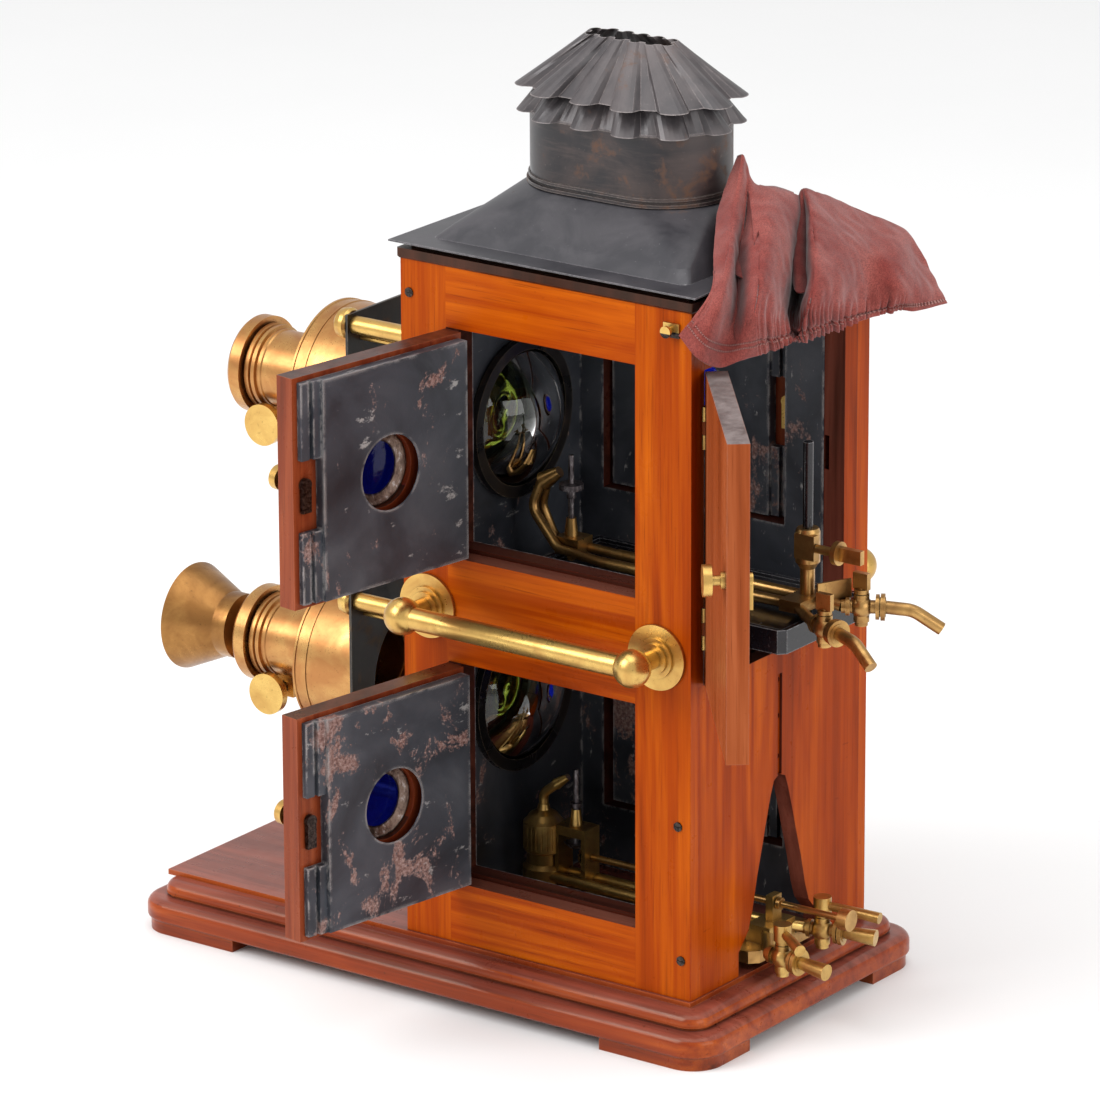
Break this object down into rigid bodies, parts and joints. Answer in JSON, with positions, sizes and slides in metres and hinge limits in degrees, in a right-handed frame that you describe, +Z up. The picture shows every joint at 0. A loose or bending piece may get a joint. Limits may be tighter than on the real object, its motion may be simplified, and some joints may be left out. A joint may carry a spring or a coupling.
{
  "type": "biunial magic lantern",
  "caption": "Wooden double magic lantern: two brass lenses one above the other, side doors, gas limelight burners, fluted tin chimney and a cloth curtain at the back",
  "frame": {"origin": "on the table, under the middle of the wooden body", "axes": "+Z up, the lenses point along -Y, the burners are fed from +Y, the open doors are on +X"},
  "size_m": [0.4232, 0.6457, 0.6925],
  "materials": {
    "mahogany": "French-polished mahogany",
    "dark_mahogany": "dark worn mahogany",
    "lacquered_brass": "aged lacquered brass",
    "japanned_tin": "worn black japan",
    "rusty_tin": "grey tin with rust",
    "blue_glass": "cobalt blue",
    "clear_glass": "clear",
    "steel": "worn steel",
    "cloth": "maroon cloth"
  },
  "bodies": {
    "case": {"base_board": "mahogany", "base_feet": "mahogany", "side_frame_right": "mahogany", "side_frame_left": "mahogany", "front_board": "mahogany", "rear_frame": "mahogany", "chamber_floor": "dark_mahogany", "tin_lining": "rusty_tin", "top_moulding": "mahogany", "handrails": "lacquered_brass", "case_fittings": "lacquered_brass", "door_hinges": "lacquered_brass", "condenser_cells": "lacquered_brass", "condenser_glasses": "clear_glass", "stage_plates": "japanned_tin", "stage_pillars": "lacquered_brass", "slide_springs": "lacquered_brass", "lens_jackets": "lacquered_brass", "roof_cove": "japanned_tin", "chimney_neck": "japanned_tin", "curtain": "cloth"},
    "cowl": {"cowl_lower": "japanned_tin", "cowl_upper": "japanned_tin"},
    "upper_lens": {"upper_objective_tube": "lacquered_brass", "upper_objective_glass": "clear_glass"},
    "lower_lens": {"lower_objective_tube": "lacquered_brass", "lower_objective_glass": "clear_glass", "lens_hood": "lacquered_brass"},
    "upper_pinion": {"upper_focus_pinion": "lacquered_brass"},
    "lower_pinion": {"lower_focus_pinion": "lacquered_brass"},
    "rear_door": {"rear_door": "mahogany"},
    "rear_door_catch": {"rear_door_catch": "lacquered_brass"},
    "upper_tray": {"upper_tray": "japanned_tin"},
    "upper_burner": {"upper_jet": "lacquered_brass"},
    "upper_clamp_screw": {"upper_clamp_screw": "lacquered_brass"},
    "upper_lime_pin": {"upper_lime_pin": "steel"},
    "upper_tap_right": {"upper_tap_right": "lacquered_brass"},
    "upper_tap_left": {"upper_tap_left": "lacquered_brass"},
    "lower_burner": {"lower_tray": "lacquered_brass", "lower_jet": "lacquered_brass"},
    "lower_lime_pin": {"lower_lime_pin": "steel"},
    "control_rod": {"control_rod": "lacquered_brass"},
    "lower_tap_right": {"lower_tap_right": "lacquered_brass"},
    "lower_tap_left": {"lower_tap_left": "lacquered_brass"},
    "right_upper_door": {"right_upper_door": "mahogany", "right_upper_door_liner": "rusty_tin", "right_upper_door_glass": "blue_glass"},
    "right_upper_catch": {"right_upper_door_catch": "lacquered_brass"},
    "right_lower_door": {"right_lower_door": "mahogany", "right_lower_door_liner": "rusty_tin", "right_lower_door_glass": "blue_glass"},
    "right_lower_catch": {"right_lower_door_catch": "lacquered_brass"},
    "left_upper_door": {"left_upper_door": "mahogany", "left_upper_door_liner": "rusty_tin", "left_upper_door_glass": "blue_glass"},
    "left_upper_catch": {"left_upper_door_catch": "lacquered_brass"},
    "left_lower_door": {"left_lower_door": "mahogany", "left_lower_door_liner": "rusty_tin", "left_lower_door_glass": "blue_glass"},
    "left_lower_catch": {"left_lower_door_catch": "lacquered_brass"}
  },
  "joints": [
    {"name": "cowl_lift", "type": "slide", "parent": "case", "child": "cowl", "axis": [0, 0, 1], "range_m": [0, 0.06]},
    {"name": "upper_focus_slide", "type": "slide", "parent": "case", "child": "upper_lens", "axis": [0, -1, 0], "range_m": [-0.0011, 0.034]},
    {"name": "upper_pinion_turn", "type": "hinge", "parent": "case", "child": "upper_pinion", "pos_m": [0, -0.312, 0.3645], "axis": [1, 0, 0], "range_deg": [-10, 300]},
    {"name": "lower_focus_slide", "type": "slide", "parent": "case", "child": "lower_lens", "axis": [0, -1, 0], "range_m": [-0.0011, 0.034]},
    {"name": "lower_pinion_turn", "type": "hinge", "parent": "case", "child": "lower_pinion", "pos_m": [0, -0.312, 0.158], "axis": [1, 0, 0], "range_deg": [-10, 300]},
    {"name": "right_upper_door_swing", "type": "hinge", "parent": "case", "child": "right_upper_door", "pos_m": [0.1095, -0.0842, 0.41215], "axis": [0, 0, 1], "range_deg": [-70, 99.6]},
    {"name": "right_upper_catch_turn", "type": "hinge", "parent": "right_upper_door", "child": "right_upper_catch", "pos_m": [0.2576, -0.10925, 0.41815], "axis": [-0.1668, -0.986, 0], "range_deg": [0, 90]},
    {"name": "right_lower_door_swing", "type": "hinge", "parent": "case", "child": "right_lower_door", "pos_m": [0.1095, -0.0842, 0.168], "axis": [0, 0, 1], "range_deg": [-70, 99.6]},
    {"name": "right_lower_catch_turn", "type": "hinge", "parent": "right_lower_door", "child": "right_lower_catch", "pos_m": [0.2576, -0.10925, 0.174], "axis": [-0.1668, -0.986, 0], "range_deg": [0, 90]},
    {"name": "left_upper_door_swing", "type": "hinge", "parent": "case", "child": "left_upper_door", "pos_m": [-0.1095, -0.0842, 0.41215], "axis": [0, 0, 1], "range_deg": [0, 170]},
    {"name": "left_upper_catch_turn", "type": "hinge", "parent": "left_upper_door", "child": "left_upper_catch", "pos_m": [-0.1095, 0.066, 0.41815], "axis": [1, 0, 0], "range_deg": [0, 90]},
    {"name": "left_lower_door_swing", "type": "hinge", "parent": "case", "child": "left_lower_door", "pos_m": [-0.1095, -0.0842, 0.168], "axis": [0, 0, 1], "range_deg": [0, 170]},
    {"name": "left_lower_catch_turn", "type": "hinge", "parent": "left_lower_door", "child": "left_lower_catch", "pos_m": [-0.1095, 0.066, 0.174], "axis": [1, 0, 0], "range_deg": [0, 90]},
    {"name": "rear_door_swing", "type": "hinge", "parent": "case", "child": "rear_door", "pos_m": [0.0935, 0.1235, 0.383], "axis": [0, 0, 1], "range_deg": [-25, 55]},
    {"name": "rear_door_catch_turn", "type": "hinge", "parent": "rear_door", "child": "rear_door_catch", "pos_m": [0.21391, 0.22347, 0.397], "axis": [0.6388, -0.7694, 0], "range_deg": [0, 90]},
    {"name": "upper_tray_slide", "type": "slide", "parent": "case", "child": "upper_tray", "axis": [0, 1, 0], "range_m": [0, 0.15]},
    {"name": "upper_burner_lift", "type": "slide", "parent": "upper_tray", "child": "upper_burner", "axis": [0, 0, 1], "range_m": [0, 0.0085]},
    {"name": "upper_clamp_turn", "type": "hinge", "parent": "upper_burner", "child": "upper_clamp_screw", "pos_m": [0.0068, 0.146, 0.352], "axis": [0, 1, 0], "continuous": true},
    {"name": "upper_lime_turn", "type": "hinge", "parent": "upper_burner", "child": "upper_lime_pin", "pos_m": [0, -0.0565, 0.34], "axis": [0, 0, 1], "continuous": true},
    {"name": "upper_tap_right_turn", "type": "hinge", "parent": "upper_burner", "child": "upper_tap_right", "pos_m": [0.035, 0.184, 0.307], "axis": [0, 0, 1], "range_deg": [0, 90]},
    {"name": "upper_tap_left_turn", "type": "hinge", "parent": "upper_burner", "child": "upper_tap_left", "pos_m": [-0.017, 0.18, 0.3075], "axis": [0, 0, 1], "range_deg": [0, 90]},
    {"name": "lower_burner_slide", "type": "slide", "parent": "case", "child": "lower_burner", "axis": [0, 1, 0], "range_m": [0, 0.16]},
    {"name": "control_rod_turn", "type": "hinge", "parent": "lower_burner", "child": "control_rod", "pos_m": [0, 0, 0.08], "axis": [0, 1, 0], "continuous": true},
    {"name": "lower_lime_turn", "type": "hinge", "parent": "lower_burner", "child": "lower_lime_pin", "pos_m": [0, -0.053, 0.1], "axis": [0, 0, 1], "continuous": true},
    {"name": "lower_tap_right_turn", "type": "hinge", "parent": "lower_burner", "child": "lower_tap_right", "pos_m": [-0.025, 0.144, 0.057], "axis": [0, 0, 1], "range_deg": [0, 90]},
    {"name": "lower_tap_left_turn", "type": "hinge", "parent": "lower_burner", "child": "lower_tap_left", "pos_m": [0.037, 0.152, 0.057], "axis": [0, 0, 1], "range_deg": [-60, 30]}
  ],
  "couplings": [
    {"joint": "upper_pinion_turn", "follows": "upper_focus_slide", "rad_per_m": 153.85},
    {"joint": "lower_pinion_turn", "follows": "lower_focus_slide", "rad_per_m": 153.85},
    {"joint": "control_rod_turn", "follows": "lower_lime_turn", "ratio": -1}
  ]
}
